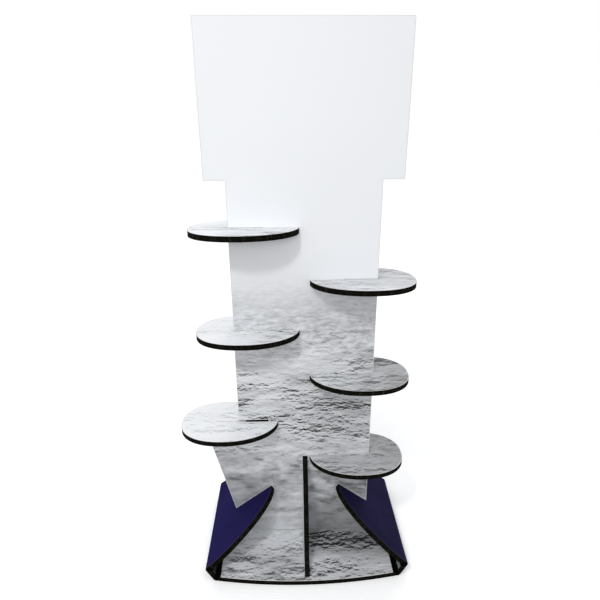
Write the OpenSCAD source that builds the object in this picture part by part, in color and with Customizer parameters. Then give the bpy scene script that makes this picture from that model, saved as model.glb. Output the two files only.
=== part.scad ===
// Free-standing shoe display of thick printed board, slotted together by hand.
// The floor plate's underside is at z = 0, the panel stands in the plane y = 0 and the front faces -Y.

/* [Board] */
// Thickness of every board
board_t = 16; // [10:0.5:20]
// Clearance on each side of a board in a slot, notch or slit
fit = 0.4; // [0.2:0.1:1]
// Outer face paper left uncut under a folding groove
liner_t = 1.2; // [0.6:0.1:2]

/* [Panel] */
// Height of the stand
total_h = 1600; // [1500:5:1700]
// Width of the header
header_w = 538; // [480:2:600]
// Height of the header
header_h = 383; // [300:1:420]
// Width of the column below the header
column_w = 422; // [390:2:460]
// Reach of the corbel from the middle, under the lowest left shelf
corbel_reach = 320; // [260:1:335]

/* [Shelves] */
// Heights of the left shelves' tops, from the lowest up
left_tops = [466, 784, 1090];
// Heights of the right shelves' tops, from the lowest up
right_tops = [331, 631, 938];
// Length of a shelf from its widest line to its outer end
shelf_outer_l = 145; // [120:1:155]
// Length of a shelf from its widest line to its inner end
shelf_inner_l = 161; // [145:1:175]
// Depth of a shelf from front to back
shelf_d = 222; // [180:2:260]
// Squareness of a shelf's outer end, where 2 is a plain ellipse
shelf_square = 2.3; // [2:0.1:3]
// Gap between a shelf's inner end and the middle of the panel
tip_gap = 14.5; // [11:0.5:25]
// Depth of the notches in the column's side edges
lap_depth = 95; // [80:1:105]
// Room above a shelf in its notch
notch_play = 0.6; // [0.4:0.1:3]
// Room above the lowest left shelf in its notch
corbel_play = 6; // [0.5:0.5:8]
// How far the lowest left shelf is drawn out of its notch
drawn_out = 71; // [0:1:80]

/* [Front fin] */
// Height of the fin's top above the floor
fin_top = 331; // [310:1:360]
// Reach of the fin's toe in front of the panel's middle
fin_reach = 200; // [180:1:206]
// Reach of the fin where its front edge turns from bulging to hollow
fin_waist_reach = 118; // [100:1:130]
// Height of that turn
fin_waist_h = 153; // [130:1:175]
// Bulge of the edge above the turn
fin_bulge = 15; // [8:0.5:20]
// Length of the fin's tabs in the panel and in the base
fin_tab_l = 64; // [40:1:90]

/* [Base] */
// Width of the floor plate between its folds
plate_w = 588; // [550:2:610]
// Depth of the plate at its ends
plate_end_d = 378; // [340:2:400]
// Bow of the plate's front and back edges
plate_bow = 24; // [10:1:35]
// How far the ridges at the tops of the folded strips stand out past the plate's folds
ridge_out = 28; // [16:1:44]
// Height of the ridges
ridge_h = 50; // [40:1:65]
// Distance of a wing's tip from the middle
tip_x = 114; // [100:1:130]
// Height of a wing's tip
tip_h = 210; // [195:1:230]
// Width of a wing's blunt tip
tip_w = 38; // [24:1:60]
// Power of the distance up a wing by which its leaf shape narrows
leaf_narrowing = 1.2; // [1:0.05:1.6]
// Power that rounds the leaf shape towards its tip
leaf_rounding = 0.54; // [0.45:0.01:0.7]
// Angle of the grooves cut inside the folds
groove_a = 90; // [84:1:100]
// Outer radius of the folds
fold_r = 10; // [6:0.5:13]

/* [Foot tabs] */
// Length of the panel's tabs in the base
foot_tab_l = 60; // [40:1:80]
// Distance of those tabs' middles from the middle of the panel
foot_tab_x = 72; // [60:1:100]

/* [Hidden] */

left = -1;
right = 1;
arc_steps = 20;
fold_steps = 12;
leaf_steps = 28;
oval_steps = 96;
// How far a cutting shape reaches past what it cuts
past = 1;
print_white = [0.93, 0.94, 0.95];
print_grey = [0.62, 0.63, 0.64];
navy = [0.15, 0.13, 0.33];

slot_t = board_t + 2 * fit;
header_z = total_h - header_h;
column_x = column_w / 2;
notch_x = column_x - lap_depth;
corbel_z = left_tops[0] - board_t;
panel_front = -board_t / 2;

shelf_mid_x = tip_gap + shelf_inner_l;
shelf_slot_l = notch_x - tip_gap + fit;

fold_x = plate_w / 2;
ridge_x = fold_x + ridge_out;
strip_l = norm([ridge_out, ridge_h]);
strip_a = atan2(ridge_h, ridge_out);
wing_l = norm([ridge_x - tip_x, tip_h - ridge_h]);
wing_a = 180 - atan2(tip_h - ridge_h, ridge_x - tip_x);
bevel = (board_t - liner_t) * tan(groove_a / 2);
plate_fold_run = fold_run(strip_a);
ridge_fold_run = fold_run(wing_a - strip_a);
flat_x = fold_x - plate_fold_run;
end_y = plate_end_d / 2;
shoulder = ridge_fold_run + bevel;

fin_tab_z = (fin_top + board_t) / 2;
fin_tab_y = -fin_reach / 2;

// Points of a circular arc from p to q, whose middle stands to the left of the way from p to q by rise
function arc_points(p, q, rise) =
    let (chord = norm(q - p),
         along = (q - p) / chord,
         side = [-along.y, along.x],
         radius = (chord * chord / 4 + rise * rise) / (2 * rise),
         half_turn = 2 * atan(2 * rise / chord))
    [for (i = [0 : arc_steps])
        let (turn = half_turn * (2 * i / arc_steps - 1))
        (p + q) / 2 + side * (rise - radius + radius * cos(turn)) + along * radius * sin(turn)];

// Rise of an arc over a chord, from the angle between the chord and the arc at its ends
function arc_rise(chord, end_angle) = chord / 2 * tan(end_angle / 2);
function arc_end_angle(chord, rise) = 2 * atan(2 * rise / chord);

// Distance from a fold's corner to where the board is flat again
function fold_run(turn) = fold_r * tan(turn / 2);

// Point along a length of board that starts at a corner and runs at an angle, at a depth below its outer face
function on_length(corner, angle, along, depth) =
    corner + along * [cos(angle), sin(angle)] + depth * [-sin(angle), cos(angle)];

// Arc of the bent board at a depth below its outer face, round a fold at a corner between two angles
function fold_points(corner, from, to, depth) =
    let (middle = on_length(corner, from, -fold_run(to - from), fold_r))
    [for (i = [0 : fold_steps])
        let (a = from + (to - from) * i / fold_steps)
        middle + (fold_r - depth) * [sin(a), -cos(a)]];

function backwards(points) = [for (i = [len(points) - 1 : -1 : 0]) points[i]];

// Outline of one tab under the panel's foot, from right to left
function foot_tab_points(side) =
    let (start = side * foot_tab_x + foot_tab_l / 2,
         end = start - foot_tab_l)
    [[start, board_t], [start, fit], [end, fit], [end, board_t]];

// Panel outline: header, column, foot with its tabs, and corbel
module panel_outline() {
    polygon(concat([[-header_w / 2, total_h], [header_w / 2, total_h],
                    [header_w / 2, header_z], [column_x, header_z], [column_x, board_t]],
                   foot_tab_points(right),
                   foot_tab_points(left),
                   [[-column_x, board_t], [-corbel_reach, corbel_z], [-column_x, corbel_z],
                    [-column_x, header_z], [-header_w / 2, header_z]]));
}

// Notch in the column's side edge, whose lower edge carries the shelf
module shelf_notch(side, top, play) {
    past_edge = corbel_reach;
    mirror([side == left ? 1 : 0, 0])
        translate([notch_x, top - board_t])
            square([past_edge, board_t + play]);
}

// Slanted slit that takes a wing of the base, from its tip out past the side edge
module wing_slit() {
    translate([ridge_x, ridge_h])
        rotate(wing_a)
            translate([0, -fit])
                square([wing_l + fit, slot_t]);
}

module back_panel() {
    color(print_white)
        rotate([90, 0, 0])
            linear_extrude(board_t, center = true)
                difference() {
                    panel_outline();
                    shelf_notch(left, left_tops[0], corbel_play);
                    for (i = [1, 2]) shelf_notch(left, left_tops[i], notch_play);
                    for (top = right_tops) shelf_notch(right, top, notch_play);
                    wing_slit();
                    mirror([1, 0]) wing_slit();
                    translate([-slot_t / 2, fin_tab_z - fin_tab_l / 2 - fit])
                        square([slot_t, fin_tab_l + 2 * fit]);
                }
}

// Value between -1 and 1 raised to a power, with its sign kept
function eased(value, power) = sign(value) * pow(abs(value), power);

// Egg-shaped outline of a shelf about its widest line, the inner end on the left
module shelf_outline() {
    polygon([for (i = [0 : oval_steps - 1])
        let (turn = 360 * i / oval_steps,
             outward = cos(turn) > 0,
             reach = outward ? shelf_outer_l : shelf_inner_l,
             power = outward ? 2 / shelf_square : 1)
        [reach * eased(cos(turn), power), shelf_d / 2 * eased(sin(turn), power)]]);
}

// Shelf with its slot straddling the panel, drawn out from its seat by a distance
module shelf(side, top, pulled = 0) {
    color(print_white)
        mirror([side == left ? 1 : 0, 0, 0])
            translate([shelf_mid_x + pulled, 0, top - board_t])
                linear_extrude(board_t)
                    difference() {
                        shelf_outline();
                        translate([-shelf_inner_l - fit, -slot_t / 2])
                            square([shelf_slot_l + fit, slot_t]);
                    }
}

module shelf_left_top() { shelf(left, left_tops[2]); }
module shelf_left_middle() { shelf(left, left_tops[1]); }
module shelf_left_bottom() { shelf(left, left_tops[0], drawn_out); }
module shelf_right_top() { shelf(right, right_tops[2]); }
module shelf_right_middle() { shelf(right, right_tops[1]); }
module shelf_right_bottom() { shelf(right, right_tops[0]); }

// Side view of the fin, with y to the front of the panel negative and z up
module fin_outline() {
    head = [panel_front, fin_top];
    waist = [-fin_waist_reach, fin_waist_h];
    toe = [-fin_reach, board_t];
    upper = norm(waist - head);
    lower = norm(toe - waist);
    upper_lean = atan2(head.x - waist.x, head.y - waist.y);
    lower_lean = atan2(waist.x - toe.x, waist.y - toe.y);
    waist_lean = upper_lean - arc_end_angle(upper, fin_bulge);
    hollow = arc_rise(lower, lower_lean - waist_lean);
    polygon(concat(arc_points(head, waist, -fin_bulge),
                   arc_points(waist, toe, hollow),
                   [[panel_front, board_t]]));
    translate([panel_front, fin_tab_z - fin_tab_l / 2])
        square([board_t, fin_tab_l]);
    translate([fin_tab_y - fin_tab_l / 2, fit])
        square([fin_tab_l, board_t]);
}

module front_fin() {
    color(print_grey)
        rotate([90, 0, 90])
            linear_extrude(board_t, center = true)
                fin_outline();
}

// Right half of the folded sheet seen from its front edge: the outer face out to the wing's tip,
// then the grooved inner face back
function section_points() =
    let (fold = [fold_x, 0],
         ridge = [ridge_x, ridge_h])
    concat(fold_points(fold, 0, strip_a, 0),
           fold_points(ridge, strip_a, wing_a, 0),
           [on_length(ridge, wing_a, wing_l, 0),
            on_length(ridge, wing_a, wing_l, board_t),
            on_length(ridge, wing_a, shoulder, board_t)],
           backwards(fold_points(ridge, strip_a, wing_a, liner_t)),
           [on_length(fold, strip_a, strip_l - ridge_fold_run - bevel, board_t),
            on_length(fold, strip_a, plate_fold_run + bevel, board_t)],
           backwards(fold_points(fold, 0, strip_a, liner_t)),
           [[flat_x - bevel, board_t]]);

module sheet_section() {
    half = section_points();
    polygon(concat(half, [for (p = backwards(half)) [-p.x, p.y]]));
}

// Plan of the sheet's ends, bowed along the floor plate and straight at the folded strips
module sheet_plan() {
    polygon(concat([[-ridge_x, -end_y]],
                   arc_points([-flat_x, -end_y], [flat_x, -end_y], -plate_bow),
                   [[ridge_x, -end_y], [ridge_x, end_y]],
                   arc_points([flat_x, end_y], [-flat_x, end_y], -plate_bow),
                   [[-ridge_x, end_y]]));
}

// Front edge of a wing's leaf shape, from its shoulder to its blunt tip, with closer points near the tip
function leaf_points() =
    [for (i = [0 : leaf_steps])
        let (t = 1 - pow(1 - i / leaf_steps, 2),
             share = pow(1 - pow(t, leaf_narrowing), leaf_rounding))
        [shoulder + (wing_l - shoulder) * t, -tip_w / 2 - (end_y - tip_w / 2) * share]];

// What is cut off a wing in front
module wing_offcut() {
    past_y = -end_y - 2 * plate_bow;
    polygon(concat(leaf_points(),
                   [[wing_l + past, -tip_w / 2], [wing_l + past, past_y], [shoulder, past_y]]));
}

module wing_offcuts() {
    translate([ridge_x, 0, ridge_h])
        rotate([0, -wing_a, 0])
            translate([0, 0, -past])
                linear_extrude(board_t + 2 * past) {
                    wing_offcut();
                    mirror([0, 1]) wing_offcut();
                }
}

module base() {
    color(navy)
        difference() {
            intersection() {
                rotate([90, 0, 0])
                    linear_extrude(plate_end_d + 4 * plate_bow, center = true)
                        sheet_section();
                translate([0, 0, -past])
                    linear_extrude(tip_h + 2 * past)
                        sheet_plan();
            }
            wing_offcuts();
            mirror([1, 0, 0]) wing_offcuts();
            for (side = [left, right])
                translate([side * foot_tab_x, 0, 0])
                    cube([foot_tab_l + 2 * fit, slot_t, 3 * board_t], center = true);
            translate([0, fin_tab_y, 0])
                cube([slot_t, fin_tab_l + 2 * fit, 3 * board_t], center = true);
        }
}

back_panel();
shelf_left_top();
shelf_left_middle();
shelf_left_bottom();
shelf_right_top();
shelf_right_middle();
shelf_right_bottom();
front_fin();
base();
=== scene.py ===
"""Looks of a free-standing shoe display of thick printed board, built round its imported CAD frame.

Each board is two printed face papers on a black fluted core. The outlines come from the CAD nodes' flat
faces, so the pieces follow the frame. The flutes that show along the cut edges come from one Geometry Nodes
group.
"""

import math

import bpy
from mathutils import Matrix, Vector
from mathutils.geometry import tessellate_polygon


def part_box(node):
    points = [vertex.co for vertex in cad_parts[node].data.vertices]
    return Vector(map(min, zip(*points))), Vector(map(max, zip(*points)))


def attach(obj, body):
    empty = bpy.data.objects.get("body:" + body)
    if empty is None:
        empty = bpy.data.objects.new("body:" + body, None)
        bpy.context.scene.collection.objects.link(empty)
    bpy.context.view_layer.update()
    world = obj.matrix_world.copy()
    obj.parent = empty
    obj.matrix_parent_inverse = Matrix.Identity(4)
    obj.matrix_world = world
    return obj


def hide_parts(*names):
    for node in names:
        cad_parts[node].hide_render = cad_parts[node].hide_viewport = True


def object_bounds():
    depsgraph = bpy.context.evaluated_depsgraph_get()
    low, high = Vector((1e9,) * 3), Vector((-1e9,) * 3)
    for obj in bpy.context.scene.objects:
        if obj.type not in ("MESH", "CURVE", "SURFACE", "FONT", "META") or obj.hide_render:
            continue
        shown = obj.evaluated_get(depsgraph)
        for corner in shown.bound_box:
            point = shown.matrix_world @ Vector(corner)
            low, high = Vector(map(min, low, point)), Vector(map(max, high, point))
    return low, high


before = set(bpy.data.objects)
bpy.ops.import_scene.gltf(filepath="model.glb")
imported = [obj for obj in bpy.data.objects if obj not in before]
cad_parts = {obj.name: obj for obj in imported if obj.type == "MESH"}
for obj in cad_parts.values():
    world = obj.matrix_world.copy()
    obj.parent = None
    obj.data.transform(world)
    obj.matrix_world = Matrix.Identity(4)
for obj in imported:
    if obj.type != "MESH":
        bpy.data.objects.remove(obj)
cad_low, cad_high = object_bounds()

MM = 0.001
X, Y, Z = Vector((1, 0, 0)), Vector((0, 1, 0)), Vector((0, 0, 1))

# Build of the board
shelf_low, shelf_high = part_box("shelf_left_top")
board = shelf_high.z - shelf_low.z
paper = 1.2 * MM
edge_round = 0.5 * MM
round_cut = 0.3 * edge_round
core_recess = 0.9 * MM
groove_slack = 0.05 * MM
fold_steps = 10
sharp_angle = math.radians(28)

# Webs of the core along the cut edges: their width and depth, the share that is there and the range of sizes
flute_pitch = 5 * MM
web = Vector((1.2 * MM, 1.6 * MM, 0))
web_below_edge = 0.2 * MM
web_share = 0.55
web_least, web_most = (0.4, 0.7, 1.0), (1.3, 1.0, 1.0)

# What counts as one way, as level, as a bend and as nearly straight when the CAD outlines are read
same_way = 0.9998
level_within = 0.1 * MM
least_bend = 1e-3
nearly_straight = 0.02

# Tints of the greys, and the depth of the papers' grain
print_tint = (0.982, 1.0, 1.03)
paper_tint = (1.0, 0.995, 0.975)
soot_tint = (1.04, 1.0, 0.72)
grain_depth = 0.4 * MM

# Lamps: azimuth and height in degrees, width in metres and power in watts
LAMPS = {
    "key_lamp": (-26, 44, 0.4, 31.0),
    "fill_lamp": (-12, 15, 1.1, 17.0),
    "back_lamp": (170, 48, 1.2, 20.0),
}


def linear(tone):
    """Reflectance of a grey that is written as a screen value from 0 to 255."""
    c = tone / 255
    return c / 12.92 if c <= 0.04045 else ((c + 0.055) / 1.055) ** 2.4


def new_object(name, data):
    """Object in the scene for some data."""
    made = bpy.data.objects.new(name, data)
    bpy.context.scene.collection.objects.link(made)
    return made


class Finish:
    """Node material, with short names for the nodes that the prints and papers use."""

    def __init__(self, name):
        self.material = bpy.data.materials.new(name)
        self.material.use_nodes = True
        self.tree = self.material.node_tree
        self.tree.nodes.clear()
        self.place = self.node("ShaderNodeTexCoord").outputs["Object"]

    def node(self, kind, inputs=(), **settings):
        made = self.tree.nodes.new(kind)
        for key, value in settings.items():
            setattr(made, key, value)
        for key, value in dict(inputs).items():
            self.feed(made.inputs[key], value)
        return made

    def feed(self, socket, value):
        if isinstance(value, bpy.types.NodeSocket):
            self.tree.links.new(value, socket)
        else:
            socket.default_value = value

    def math(self, operation, a, b=0.0, clamp=False):
        return self.node("ShaderNodeMath", {0: a, 1: b}, operation=operation, use_clamp=clamp).outputs[0]

    def plus(self, first, *others):
        for other in others:
            first = self.math("ADD", first, other)
        return first

    def times(self, first, *others):
        for other in others:
            first = self.math("MULTIPLY", first, other)
        return first

    def split(self):
        """Coordinates of the place in metres."""
        return self.node("ShaderNodeSeparateXYZ", {0: self.place}).outputs[:]

    def flat(self, x, y):
        return self.node("ShaderNodeCombineXYZ", {0: x, 1: y}).outputs[0]

    def scaled(self, vector, factors):
        return self.node("ShaderNodeVectorMath", {0: vector, 1: factors}, operation="MULTIPLY").outputs[0]

    def noise(self, vector, scale, detail=2.0, rough=0.5, warp=0.0):
        inputs = {"Vector": vector, "Scale": scale, "Detail": detail, "Roughness": rough, "Distortion": warp}
        return self.node("ShaderNodeTexNoise", inputs).outputs[0]

    def swing(self, where, per_clod, detail, rough, warp):
        """Noise to both sides of zero, with its own number of waves per clod sideways and backwards."""
        noise = self.noise(self.scaled(where, per_clod + (1.0,)), 1.0, detail, rough, warp)
        return self.math("SUBTRACT", noise, 0.5)

    def step(self, value, low, high, to_low=0.0, to_high=1.0):
        """Smooth step from one value to another as the first goes from low to high."""
        inputs = {"Value": value, "From Min": low, "From Max": high, "To Min": to_low, "To Max": to_high}
        return self.node("ShaderNodeMapRange", inputs, interpolation_type="SMOOTHSTEP").outputs[0]

    def ramp(self, value, stops):
        """Grey that follows (place, screen grey) stops."""
        made = self.node("ShaderNodeValToRGB", {0: value})
        points = made.color_ramp.elements
        while len(points) < len(stops):
            points.new(0.5)
        for point, (place, tone) in zip(points, stops):
            point.position = place
            point.color = (linear(tone),) * 3 + (1,)
        return made.outputs[0]

    def mix(self, share, a, b):
        return self.node("ShaderNodeMix", {0: share, 2: a, 3: b}).outputs[0]

    def blend(self, share, a, b):
        return self.node("ShaderNodeMix", {0: share, 6: a, 7: b}, data_type="RGBA").outputs[2]

    def tinted(self, grey, tint):
        parts = [self.times(grey, t) for t in tint]
        return self.node("ShaderNodeCombineColor", dict(enumerate(parts))).outputs[0]

    def done(self, colour, roughness, height, strength, distance, gloss=0.15):
        """Closes the material, with a bump of a strength and a depth in metres."""
        bump = self.node("ShaderNodeBump", {"Height": height, "Strength": strength, "Distance": distance})
        shader = self.node("ShaderNodeBsdfPrincipled", {
            "Base Color": colour, "Roughness": roughness, "Specular IOR Level": gloss,
            "Normal": bump.outputs[0]})
        output = self.node("ShaderNodeOutputMaterial", {"Surface": shader.outputs[0]})
        self.tree.nodes.active = output
        return self.material


def paper_grain(f):
    """Fine relief of matt paper."""
    return f.noise(f.place, 900.0, 3.0, 0.6)


def relief(f, where, scale, detail, rough, drop):
    """Light and shade on lumpy ground that is lit from behind: its fall from a little further back."""
    here = f.scaled(where, (scale, scale, scale))
    back = f.node("ShaderNodeVectorMath", {0: here, 1: (0.0, drop, 0.0)}, operation="ADD").outputs[0]
    return f.math("SUBTRACT", f.noise(here, 1.0, detail, rough), f.noise(back, 1.0, detail, rough))


def stone_print(name, surface):
    """Printed stony ground on a face.

    surface(finish) gives where the ground is (in clods), how sharp it is, how fine its soft parts are, how
    many cracks it has, its mean tone, and how strongly the print shows.
    """
    f = Finish(name)
    where, focus, fine, darkness, tone, strength = surface(f)
    detail = f.mix(focus, 1.5, 9.0)
    drift = f.swing(where, (0.24, 0.36), 3.0, 0.55, 0.5)
    patches = f.swing(where, (0.13, 0.30), 2.5, 0.5, 0.7)
    broad = f.swing(where, (0.85, 0.7), 5.0, 0.58, 0.4)
    small = f.swing(where, (1.0, 1.1), 4.0, 0.55, 0.4)
    clods = relief(f, where, 1.0, detail, 0.66, 0.34)
    stones = relief(f, where, 3.1, detail, 0.62, 0.4)
    sharp = f.plus(clods, f.times(stones, 0.8))
    soft = f.plus(f.times(clods, 0.35), f.times(f.mix(fine, broad, small), 1.3), f.times(stones, fine, 0.45))
    shade = f.mix(focus, soft, sharp)
    cover = f.math("MINIMUM", f.plus(darkness, f.times(patches, f.mix(focus, 0.6, 1.2))), 0.13)
    gap = f.math("SUBTRACT", cover, shade)
    crack = f.step(gap, f.mix(focus, 0.04, 0.03), f.mix(focus, 0.30, 0.19))
    level = f.plus(f.times(shade, f.mix(focus, 1.7, 0.95)), f.times(drift, 1.2), 1.05)
    level = f.times(level, f.mix(crack, 1.0, f.mix(focus, 0.6, 0.06)))
    grey = f.times(tone, f.mix(strength, 1.0, level))
    grey = f.math("MINIMUM", f.math("MAXIMUM", grey, 0.012), 0.92)
    return f.done(f.tinted(grey, print_tint), 0.7, paper_grain(f), 0.12, grain_depth)


def panel_surface(f):
    """Ground that runs back to a far, soft horizon up the panel and fades to white above it, with painted
    shade of the fin and the left wing low down.
    """
    horizon, least_depth = 1.35, 0.1
    x, _, z = f.split()
    depth = f.math("MAXIMUM", f.math("SUBTRACT", horizon, z), least_depth)
    across = f.times(f.math("DIVIDE", x, depth), 21.0)
    where = f.flat(across, f.times(f.math("LOGARITHM", depth, math.e), -50.0))
    focus = f.times(f.step(z, 0.26, 0.44), f.step(z, 0.80, 0.58))
    fine = f.step(z, 0.45, 0.7)
    darkness = f.plus(f.step(x, -0.14, 0.18, -0.03, 0.08), f.step(z, 0.52, 0.72, 0.0, -0.10))
    # Darker to the right: a little in the print, and much more low down, where it is painted shade of the
    # fin
    right = f.times(f.step(x, -0.04, 0.07), f.step(z, 0.95, 0.7))
    # Painted shade of the left wing on the low left of the panel
    left_wing_shade = f.times(f.step(x, -0.08, -0.18), f.step(z, 0.30, 0.22))
    side = f.times(f.mix(right, 1.0, f.step(z, 0.10, 0.18, 0.52, 0.92)), f.mix(left_wing_shade, 1.0, 0.72))
    tone = f.times(side, f.ramp(f.math("DIVIDE", z, cad_high.z), [
        (0.0, 208), (0.06, 202), (0.11, 188), (0.16, 188), (0.22, 213), (0.27, 212), (0.31, 204),
        (0.36, 214), (0.40, 218), (0.50, 208), (0.54, 214), (0.57, 232), (0.60, 241), (0.65, 246),
        (0.70, 249), (0.80, 247), (1.0, 243)]))
    strength = f.times(f.step(z, 0.98, 0.66), f.step(z, 0.02, 0.2, 0.45, 1.0))
    return where, focus, fine, darkness, tone, strength


def shelf_surface(f):
    """Pale ground: the left shelves almost white at their outer ends, the right ones greyer further down."""
    x, y, z = f.split()
    rise = f.mix(f.math("GREATER_THAN", x, 0.0), 41.0, 38.6)
    where = f.flat(f.times(x, 21.0), f.plus(f.times(y, 42.0), f.times(z, rise)))
    side = f.step(x, -0.04, 0.04)
    focus = f.mix(side, 0.85, 0.65)
    darkness = f.mix(side, -0.05, 0.02)
    left = f.times(f.step(x, -0.28, -0.06, linear(248), linear(222)), f.step(z, 0.85, 1.05, 1.0, 0.91))
    tier = f.step(z, 0.36, 0.60, linear(190), f.step(z, 0.66, 0.92, linear(204), linear(217)))
    right = f.times(tier, f.step(x, 0.14, 0.28, 1.0, f.step(z, 0.6, 0.92, 0.66, 0.92)))
    strength = f.mix(side, f.step(x, -0.30, -0.08, 0.3, 0.9), f.step(z, 0.6, 0.92, 0.9, 0.5))
    return where, focus, 0.6, darkness, f.mix(side, left, right), strength


def base_surface(f):
    """Near ground, drawn out sideways, sharp away from the panel, darker to the right, partly as painted
    shade of the fin, and with painted shade in the folds.
    """
    x, y, z = f.split()
    where = f.flat(f.times(x, 22.0), f.plus(f.times(y, 44.0), f.times(z, 20.0)))
    away = f.math("ABSOLUTE", y)
    near = f.step(away, 0.06, 0.14)
    side = f.step(x, -0.03, 0.03)
    left = f.mix(near, linear(224), linear(198))
    # Right half darkest by the panel: partly print, partly painted shade of the fin
    right = f.mix(near, linear(158), linear(200))
    # Painted shade on the inner faces of the strips in the folds, deep on the left under its wing and less
    # on the right
    fold_shade = f.times(f.step(x, -0.29, -0.275, 0.05, 1.0), f.step(x, 0.28, 0.288, 1.0, 0.3))
    tone = f.times(f.mix(side, left, right), fold_shade)
    darkness = f.mix(side, f.mix(near, -0.02, 0.17), f.mix(near, 0.07, -0.03))
    strength = f.mix(side, f.mix(near, 0.5, 1.0), f.step(away, -0.01, 0.02, 0.5, 1.0))
    left_focus = f.times(f.step(away, 0.01, 0.05), f.step(away, 0.10, 0.15, 1.0, 0.6))
    focus = f.mix(side, left_focus, f.step(away, -0.01, 0.02))
    return where, focus, 0.5, darkness, tone, strength


def fin_surface(f):
    """Soft ground, as on the panel behind the fin."""
    _, y, z = f.split()
    where = f.flat(f.times(y, 15.0), f.times(z, 30.0))
    return where, 0.15, 0.0, -0.05, f.step(z, 0.0, 0.3, linear(224), linear(234)), 0.7


def navy_print(name, left, right):
    """Plain print, a little brighter on the left side than on the right as painted light and shade, clouded
    by the paper under it.
    """
    f = Finish(name)
    x, _, _ = f.split()
    cloud = f.step(f.noise(f.place, 11.0, 5.0, 0.6), 0.25, 0.75, -0.25, 0.25)
    share = f.math("ADD", f.step(x, -0.3, 0.3), cloud, clamp=True)
    colour = f.blend(share, *(tuple(linear(t) for t in tones) + (1,) for tones in (left, right)))
    return f.done(colour, f.step(cloud, -0.25, 0.25, 0.62, 0.72), paper_grain(f), 0.12, grain_depth, 0.03)


def plain_paper(name, tone, scale):
    """Bare face paper, with painted shade along the foot of the panel where it stands in the base, deeper to
    the right.
    """
    f = Finish(name)
    x, y, z = f.split()
    fibre = f.noise(f.place, scale, 5.0, 0.65)
    # Painted shade along the foot of the panel, deeper to the right of the fin
    unshaded = f.math("MAXIMUM", f.step(f.math("ABSOLUTE", y), 0.012, 0.02), f.step(z, 0.02, 0.035))
    foot_shade = f.step(x, -0.03, 0.03, 0.7, 0.4)
    grey = f.times(f.step(fibre, 0.25, 0.75, linear(tone - 9), linear(tone + 5)), f.mix(unshaded, foot_shade, 1.0))
    return f.done(f.tinted(grey, paper_tint), 0.78, paper_grain(f), 0.2, grain_depth)


def core_stuff(name, tone, spread, patch):
    """Sooty core whose tone changes over patches of a size."""
    f = Finish(name)
    soot = f.noise(f.place, 1.0 / patch, 4.0, 0.7)
    grey = f.step(soot, 0.32, 0.72, linear(tone - spread), linear(tone + spread))
    return f.done(f.tinted(grey, soot_tint), 0.9, f.noise(f.place, 1500.0, 3.0), 0.4, 0.6 * MM, 0.04)


FINISHES = {
    "panel": stone_print("panel_print", panel_surface),
    "shelf": stone_print("shelf_print", shelf_surface),
    "ground": stone_print("base_print", base_surface),
    "fin": stone_print("fin_print", fin_surface),
    # The right colours of the navy are the left ones in painted shade
    "navy": navy_print("navy_print", (30, 26, 78), (28, 25, 58)),
    "navy_rim": navy_print("navy_rim", (56, 52, 74), (52, 50, 66)),
    "rim": plain_paper("bare_paper", 226, 300.0),
    "under": core_stuff("black_liner", 22, 6, 12 * MM),
    "core": core_stuff("black_core", 11, 8, 2.4 * MM),
    "web": core_stuff("flute_web", 36, 26, 14 * MM),
}
FINISH_INDEX = {name: i for i, name in enumerate(FINISHES)}

# Faces of the boards: the print, the rim round it, the rim's width and the finish of the rounded corner
FACES = {
    "panel": ("panel", "rim", 1.8 * MM, "rim"),
    "shelf": ("shelf", "rim", 2.0 * MM, "under"),
    "plate": ("ground", "rim", 2.5 * MM, "under"),
    "inside": ("ground", "under", 1.4 * MM, "under"),
    "fin": ("fin", "rim", 1.6 * MM, "under"),
    "outside": ("navy", "navy_rim", 3.2 * MM, "under"),
    "under": ("under", "under", 1.4 * MM, "under"),
}


def sides(loop):
    """Neighbouring points round a loop, in pairs."""
    return list(zip(loop, loop[1:] + loop[:1]))


def corners_only(loop):
    """Loop without the points that lie along its straight sides."""
    return [p for before, p, past in zip(loop[-1:] + loop[:-1], loop, loop[1:] + loop[:1])
            if (p - before).normalized().cross((past - p).normalized()).length > least_bend]


def flat_loops(node, normal):
    """Boundary loops of a CAD node's outermost flat face in a direction.

    Seen against that direction the outer loop runs anticlockwise and its holes clockwise.
    """
    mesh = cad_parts[node].data
    facing = [p for p in mesh.polygons if p.normal.dot(normal) > same_way]
    height = max(p.center.dot(normal) for p in facing)
    way = set()
    for p in facing:
        if p.center.dot(normal) > height - level_within:
            way.update(sides([tuple(round(c, 6) for c in mesh.vertices[i].co) for i in p.vertices]))
    after = {a: b for a, b in way if (b, a) not in way}
    loops = []
    while after:
        point = min(after)
        loop = []
        while point in after:
            loop.append(Vector(point))
            point = after.pop(point)
        loops.append(corners_only(loop))
    return loops


def widest_normal(node, test):
    """Normal of the largest flat face of a CAD node among the faces that pass a test."""
    areas, normals = {}, {}
    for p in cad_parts[node].data.polygons:
        if test(p):
            key = tuple(round(c, 3) for c in p.normal)
            areas[key] = areas.get(key, 0.0) + p.area
            normals[key] = p.normal.copy()
    return normals[max(areas, key=areas.get)]


def placed(u, v, origin):
    """Matrix of a board whose outline is in (u, v) and whose thickness runs along their cross product."""
    h = u.cross(v)
    return Matrix([(u[i], v[i], h[i], origin[i]) for i in range(3)] + [(0, 0, 0, 1)])


def flattened(place, loops):
    """Loops in a board's own plane, the outer one anticlockwise and the holes clockwise."""
    flat = [[(place.inverted() @ p).to_2d() for p in loop] for loop in loops]
    flat.sort(key=lambda loop: -abs(loop_area(loop)))
    return [loop if (loop_area(loop) > 0) == (i == 0) else loop[::-1] for i, loop in enumerate(flat)]


def loop_area(loop):
    """Area of a flat loop, negative where it runs clockwise."""
    return sum(a.x * b.y - b.x * a.y for a, b in sides(loop)) / 2


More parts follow.
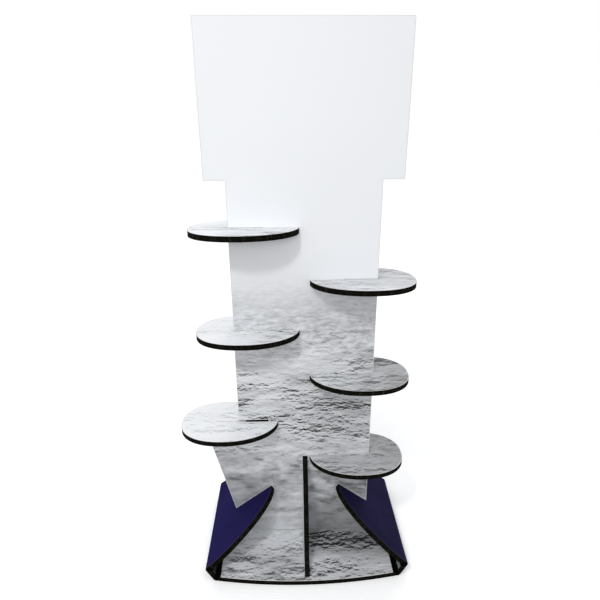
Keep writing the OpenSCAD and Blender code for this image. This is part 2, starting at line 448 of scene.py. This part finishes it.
def inset(loop, distances):
    """Loop whose edges are moved into the board, each by its own distance."""
    normals = []
    for a, b in sides(loop):
        d = (b - a).normalized()
        normals.append(Vector((-d.y, d.x)))
    moved = []
    for i, p in enumerate(loop):
        m, n = normals[i - 1], normals[i]
        dm, dn = distances[i - 1], distances[i]
        cross = m.x * n.y - m.y * n.x
        if abs(cross) < nearly_straight:
            moved.append(p + (m + n).normalized() * (dm + dn) / 2)
        else:
            moved.append(p + Vector(((dm * n.y - dn * m.y) / cross, (dn * m.x - dm * n.x) / cross)))
    return moved


class Sheet:
    """Mesh of one piece, gathered ring by ring."""

    def __init__(self):
        self.points, self.faces, self.finish = [], [], []

    def ring(self, points):
        """Adds points and returns their numbers."""
        first = len(self.points)
        self.points.extend(points)
        return list(range(first, len(self.points)))

    def face(self, corners, finish):
        self.faces.append(corners)
        self.finish.append(FINISH_INDEX[finish])

    def wall(self, lower, upper, finishes):
        """Faces between two rings, each with its own finish."""
        for (a, b), (c, d), finish in zip(sides(lower), sides(upper), finishes):
            self.face((a, b, d, c), finish)

    def cap(self, rings, up, finish):
        """Flat face within a ring and outside the rings of its holes."""
        order = [i for ring in rings for i in ring]
        for triangle in tessellate_polygon([[self.points[i] for i in ring] for ring in rings]):
            corners = [order[i] for i in triangle]
            a, b, c = (self.points[i] for i in corners)
            if (b - a).cross(c - a).dot(up) < 0:
                corners.reverse()
            self.face(corners, finish)

    def add(self, mesh, place, finish):
        """Adds a mesh that is made in a board's own plane."""
        first = len(self.points)
        self.points.extend(place @ v.co for v in mesh.vertices)
        for p in mesh.polygons:
            self.face([first + i for i in p.vertices], finish)

    def piece(self, name, node):
        """Makes the piece, in place of a CAD node."""
        mesh = bpy.data.meshes.new(name)
        mesh.from_pydata(self.points, [], self.faces)
        for material in FINISHES.values():
            mesh.materials.append(material)
        mesh.polygons.foreach_set("material_index", self.finish)
        mesh.polygons.foreach_set("use_smooth", [True] * len(self.faces))
        mesh.set_sharp_from_angle(angle=sharp_angle)
        mesh.update()
        made = new_object(name, mesh)
        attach(made, "root")
        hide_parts(node)


def edge_section(first_face, last_face):
    """Cut edge of the board from its first face to its last.

    Each level has a height, an inset and the finish of the band that follows.
    """
    _, rim, margin, corner = FACES[first_face]
    _, far_rim, far_margin, far_corner = FACES[last_face]
    return [
        (0.0, margin, rim), (0.0, edge_round, corner), (round_cut, round_cut, corner),
        (edge_round, 0.0, "under"), (paper, 0.0, "under"), (paper, core_recess, "core"),
        (board - paper, core_recess, "under"), (board - paper, 0.0, "under"),
        (board - edge_round, 0.0, far_corner), (board - round_cut, round_cut, far_corner),
        (board, edge_round, far_rim), (board, far_margin, None)]


def build_board(sheet, place, loops, first_face, last_face, grooved=lambda a, b: False, bevel=0.0):
    """Adds a board with layered cut edges.

    Edges that grooved() picks are groove walls, slanted over a bevel.
    """
    levels = edge_section(first_face, last_face)
    up = place.to_3x3() @ Z
    bottoms, tops = [], []
    for loop in loops:
        groove = [grooved(a, b) for a, b in sides(loop)]
        rings = []
        for height, depth, _ in levels:
            slant = max(0.0, bevel * (height - paper) / (board - paper) - groove_slack)
            outline = inset(loop, [slant if g else depth for g in groove])
            rings.append(sheet.ring([place @ Vector((p.x, p.y, height)) for p in outline]))
        for lower, upper, (_, _, band) in zip(rings, rings[1:], levels):
            sheet.wall(lower, upper, ["core" if g else band for g in groove])
        bottoms.append(rings[0])
        tops.append(rings[-1])
    sheet.cap(bottoms, -up, FACES[first_face][0])
    sheet.cap(tops, up, FACES[last_face][0])
    add_flutes(sheet, place, loops, grooved, bevel)


def flute_group():
    """Geometry Nodes group that stands webs at a pitch along edge lines, some left out and some thinner."""
    group = bpy.data.node_groups.new("edge_flutes", "GeometryNodeTree")
    new_socket = group.interface.new_socket
    sockets = {}
    for name, kind in (("Lines", "Geometry"), ("Pitch", "Float"), ("Web", "Vector"), ("Seed", "Int"),
                       ("Finish", "Material")):
        sockets[name] = new_socket(name, in_out="INPUT", socket_type="NodeSocket" + kind).identifier
    new_socket("Flutes", in_out="OUTPUT", socket_type="NodeSocketGeometry")
    nodes, links = group.nodes, group.links
    given, result = nodes.new("NodeGroupInput"), nodes.new("NodeGroupOutput")
    curve = nodes.new("GeometryNodeMeshToCurve")
    points = nodes.new("GeometryNodeCurveToPoints")
    points.mode = "LENGTH"
    turn = nodes.new("FunctionNodeAlignRotationToVector")
    turn.axis, turn.pivot_axis = "X", "Z"
    block = nodes.new("GeometryNodeMeshCube")
    kept = nodes.new("FunctionNodeRandomValue")
    kept.data_type = "BOOLEAN"
    kept.inputs["Probability"].default_value = web_share
    size = nodes.new("FunctionNodeRandomValue")
    size.data_type = "FLOAT_VECTOR"
    size.inputs["Min"].default_value = web_least
    size.inputs["Max"].default_value = web_most
    stand = nodes.new("GeometryNodeInstanceOnPoints")
    real = nodes.new("GeometryNodeRealizeInstances")
    finish = nodes.new("GeometryNodeSetMaterial")
    for a, b in (
            (given.outputs["Lines"], curve.inputs["Mesh"]),
            (curve.outputs[0], points.inputs["Curve"]),
            (given.outputs["Pitch"], points.inputs["Length"]),
            (points.outputs["Tangent"], turn.inputs["Vector"]),
            (given.outputs["Web"], block.inputs["Size"]),
            (given.outputs["Seed"], kept.inputs["Seed"]),
            (given.outputs["Seed"], size.inputs["Seed"]),
            (points.outputs["Points"], stand.inputs["Points"]),
            (kept.outputs[3], stand.inputs["Selection"]),
            (block.outputs["Mesh"], stand.inputs["Instance"]),
            (turn.outputs[0], stand.inputs["Rotation"]),
            (size.outputs[0], stand.inputs["Scale"]),
            (stand.outputs[0], real.inputs[0]),
            (real.outputs[0], finish.inputs["Geometry"]),
            (given.outputs["Finish"], finish.inputs["Material"]),
            (finish.outputs[0], result.inputs[0])):
        links.new(a, b)
    return group, sockets


FLUTES, FLUTE_SOCKETS = flute_group()


def add_flutes(sheet, place, loops, grooved, bevel):
    """Stands the core's webs in the recess along the cut edges of a board, clear of its grooves."""
    points, edges = [], []
    depth = web_below_edge + web.y / 2
    for loop in loops:
        groove = [grooved(a, b) for a, b in sides(loop)]
        path = inset(loop, [bevel if g else depth for g in groove])
        first = len(points)
        points.extend(Vector((p.x, p.y, board / 2)) for p in path)
        edges.extend((first + i, first + (i + 1) % len(loop)) for i, g in enumerate(groove) if not g)
    mesh = bpy.data.meshes.new("flute_lines")
    mesh.from_pydata(points, edges, [])
    lines = new_object("flute_lines", mesh)
    nodes = lines.modifiers.new("flutes", "NODES")
    nodes.node_group = FLUTES
    nodes[FLUTE_SOCKETS["Pitch"]] = flute_pitch
    nodes[FLUTE_SOCKETS["Web"]] = (web.x, web.y, board - 2 * paper)
    nodes[FLUTE_SOCKETS["Seed"]] = len(sheet.points)
    nodes[FLUTE_SOCKETS["Finish"]] = FINISHES["web"]
    stood = bpy.data.meshes.new_from_object(lines.evaluated_get(bpy.context.evaluated_depsgraph_get()))
    lines.modifiers.remove(nodes)
    sheet.add(stood, place, "web")
    bpy.data.objects.remove(lines)
    bpy.data.meshes.remove(stood)
    bpy.data.meshes.remove(mesh)


def add_fold(sheet, start, along, inward, turn, radius, half_depth):
    """Adds the face paper that is bent round a fold of the base, from the end of one length of board."""
    middle = start + inward * radius
    e, r, c = half_depth, edge_round, round_cut
    face, rim, margin, _ = FACES["outside"]
    outline = [
        (-e + margin, 0, face), (e - margin, 0, rim), (e - r, 0, "under"), (e - c, c, "under"),
        (e, r, "under"), (e, paper, "core"), (-e, paper, "under"), (-e, r, "under"), (-e + c, c, "under"),
        (-e + r, 0, rim)]
    rings = []
    for step in range(fold_steps + 1):
        a = turn * step / fold_steps
        out = along * math.sin(a) - inward * math.cos(a)
        rings.append(sheet.ring([middle + out * (radius - depth) + Y * y for y, depth, _ in outline]))
    bands = [band for _, _, band in outline]
    handed = along.cross(-inward).dot(Y) < 0
    for lower, upper in zip(rings, rings[1:]):
        if handed:
            sheet.wall(upper, lower, bands)
        else:
            sheet.wall(lower, upper, bands)
    sheet.cap(rings[:1], -along, "core")
    sheet.cap(rings[-1:], along * math.cos(turn) + inward * math.sin(turn), "core")


def flat_board(name, node, u, v, first_face, last_face):
    """Piece for a CAD node that is one flat board."""
    h = u.cross(v)
    loops = flat_loops(node, h)
    place = placed(u, v, h * (loops[0][0].dot(h) - board))
    sheet = Sheet()
    build_board(sheet, place, flattened(place, loops), first_face, last_face)
    sheet.piece(name, node)


def slope_place(normal):
    """Loops and place of a sloping length of the base, its outline starting at its lower edge."""
    loops = flat_loops("base", normal)
    u = normal.cross(Y)
    u = u if u.z > 0 else -u
    v = u.cross(normal)
    low = min(loops[0], key=lambda p: p.dot(u))
    place = placed(u, v, Vector((low.x, 0, low.z)))
    return place, flattened(place, loops)


def folded_base():
    """Piece for the base: the plate, and on each side a strip, a wing and the two folds before them."""
    sheet = Sheet()
    under = flat_loops("base", -Z)
    plate = placed(X, Y, Vector((0, 0, under[0][0].z)))
    plate_loops = flattened(plate, under)
    flat_x = max(p.x for p in plate_loops[0])
    half_depth = max(abs(p.y) for p in plate_loops[0] if p.x > flat_x - level_within)
    plate_top = plate.translation.z + board
    inner_x = max(p.x for loop in flat_loops("base", Z) for p in loop if abs(p.z - plate_top) < MM)
    bevel = flat_x - inner_x
    build_board(sheet, plate, plate_loops, "under", "plate",
                lambda a, b: min(abs(a.x), abs(b.x)) > flat_x - level_within, bevel)
    for side in (-1, 1):
        # The outer face of a strip leans out and down, and that of a wing out and up
        out = X * side
        strip_normal = widest_normal("base", lambda p: p.center.dot(out) > 0 and p.normal.dot(out) > 0.5
                                     and p.normal.z < -0.2)
        wing_normal = widest_normal("base", lambda p: p.center.dot(out) > 0 and p.normal.dot(out) > 0.2
                                    and p.normal.z > 0.4)
        strip, strip_loops = slope_place(strip_normal)
        wing, wing_loops = slope_place(wing_normal)
        length = max(p.x for p in strip_loops[0])
        build_board(sheet, strip, strip_loops, "outside", "inside",
                    lambda a, b: abs(a.x - b.x) < level_within, bevel)
        build_board(sheet, wing, wing_loops, "outside", "inside",
                    lambda a, b: max(a.x, b.x) < level_within, bevel)
        strip_u, wing_u = (m.to_3x3() @ X for m in (strip, wing))
        for start, end, before, after in (
                (Vector((side * flat_x, 0, plate.translation.z)), strip.translation, out, strip_u),
                (strip @ Vector((length, 0, 0)), wing.translation, strip_u, wing_u)):
            turn = before.angle(after)
            radius = (end - start).length / (2 * math.sin(turn / 2))
            inward = (after - before * after.dot(before)).normalized()
            add_fold(sheet, start, before, inward, turn, radius, half_depth)
    sheet.piece("folded_base_board", "base")


def straight_rays(tree):
    """1 for rays from the camera, also by way of a gloss or glass, and 0 for rays that only light things."""
    path = tree.nodes.new("ShaderNodeLightPath")
    either = path.outputs["Is Camera Ray"]
    for kind in ("Is Glossy Ray", "Is Transmission Ray"):
        more = tree.nodes.new("ShaderNodeMath")
        more.operation = "MAXIMUM"
        tree.links.new(either, more.inputs[0])
        tree.links.new(path.outputs[kind], more.inputs[1])
        either = more.outputs[0]
    return either


def make_floor():
    """Pale floor that runs out of sight, less bright near the stand, so that a faint shadow shows."""
    reach, drop = 40.0, 0.2 * MM
    mesh = bpy.data.meshes.new("floor")
    corners = [(-reach, -reach, 0), (reach, -reach, 0), (reach, reach, 0), (-reach, reach, 0)]
    mesh.from_pydata(corners, [], [(0, 1, 2, 3)])
    f = Finish("pale_floor")
    grain = f.noise(f.place, 3.0, 3.0)
    far = f.node("ShaderNodeVectorMath", {0: f.place}, operation="LENGTH").outputs["Value"]
    brightness = f.mix(straight_rays(f.tree), 0.5, f.step(far, 0.5, 4.0, 1.28, 1.6))
    grey = f.times(f.step(grain, 0.3, 0.7, 0.99, 1.0), brightness)
    mesh.materials.append(f.done(f.tinted(grey, (1, 1, 1)), 0.9, grain, 0.02, 1 * MM, 0.0))
    floor = new_object("floor", mesh)
    floor.location.z = cad_low.z - drop


def make_surround():
    """White surround for the camera, and soft sky light."""
    world = bpy.data.worlds.new("studio")
    bpy.context.scene.world = world
    world.use_nodes = True
    nodes, links = world.node_tree.nodes, world.node_tree.links
    nodes.clear()
    light, seen = nodes.new("ShaderNodeBackground"), nodes.new("ShaderNodeBackground")
    light.inputs["Color"].default_value = (0.97, 0.985, 1.0, 1)
    light.inputs["Strength"].default_value = 0.68
    seen.inputs["Color"].default_value = (1, 1, 1, 1)
    mixed, output = nodes.new("ShaderNodeMixShader"), nodes.new("ShaderNodeOutputWorld")
    links.new(straight_rays(world.node_tree), mixed.inputs[0])
    links.new(light.outputs[0], mixed.inputs[1])
    links.new(seen.outputs[0], mixed.inputs[2])
    links.new(mixed.outputs[0], output.inputs[0])


def add_lamp(name, azimuth, height, width, power):
    """Round lamp well away from the stand, by the direction it is seen in from the stand's upper half."""
    aim, away = Vector((0, 0, 1.05)), 3.2
    a, h = math.radians(azimuth), math.radians(height)
    towards = Vector((math.sin(a) * math.cos(h), -math.cos(a) * math.cos(h), math.sin(h)))
    data = bpy.data.lights.new(name, "AREA")
    data.shape = "DISK"
    data.size = width
    data.energy = power
    data.color = (1.0, 0.99, 0.98)
    lamp = new_object(name, data)
    lamp.location = aim + towards * away
    lamp.rotation_mode = "QUATERNION"
    lamp.rotation_quaternion = towards.to_track_quat("Z", "Y")


def make_camera():
    """Camera fitted to the photo: in front, a little to the left and near the top, looking down."""
    at = Vector((-0.04821, -1.31223, 1.36069))
    yaw, pitch, roll = (math.radians(a) for a in (1.52, 20.329, -0.303))
    focal_pixels, picture_pixels, sensor = 479.46, 600, 36.0
    ahead = Vector((math.sin(yaw) * math.cos(pitch), math.cos(yaw) * math.cos(pitch), -math.sin(pitch)))
    level = Vector((math.cos(yaw), -math.sin(yaw), 0))
    above = level.cross(ahead)
    right = level * math.cos(roll) + above * math.sin(roll)
    up = above * math.cos(roll) - level * math.sin(roll)
    data = bpy.data.cameras.new("camera")
    data.sensor_width = sensor
    data.lens = focal_pixels / picture_pixels * sensor
    camera = new_object("camera", data)
    camera.matrix_world = placed(right, up, at)
    bpy.context.scene.camera = camera


flat_board("panel_board", "back_panel", X, Z, "panel", "panel")
for side in ("left", "right"):
    for level in ("top", "middle", "bottom"):
        flat_board("shelf_board_%s_%s" % (side, level), "shelf_%s_%s" % (side, level), X, Y,
                   "under", "shelf")
flat_board("fin_board", "front_fin", Y, Z, "fin", "fin")
folded_base()

make_floor()
make_surround()
for name, lamp in LAMPS.items():
    add_lamp(name, *lamp)
make_camera()
bpy.context.scene.view_settings.view_transform = "Standard"
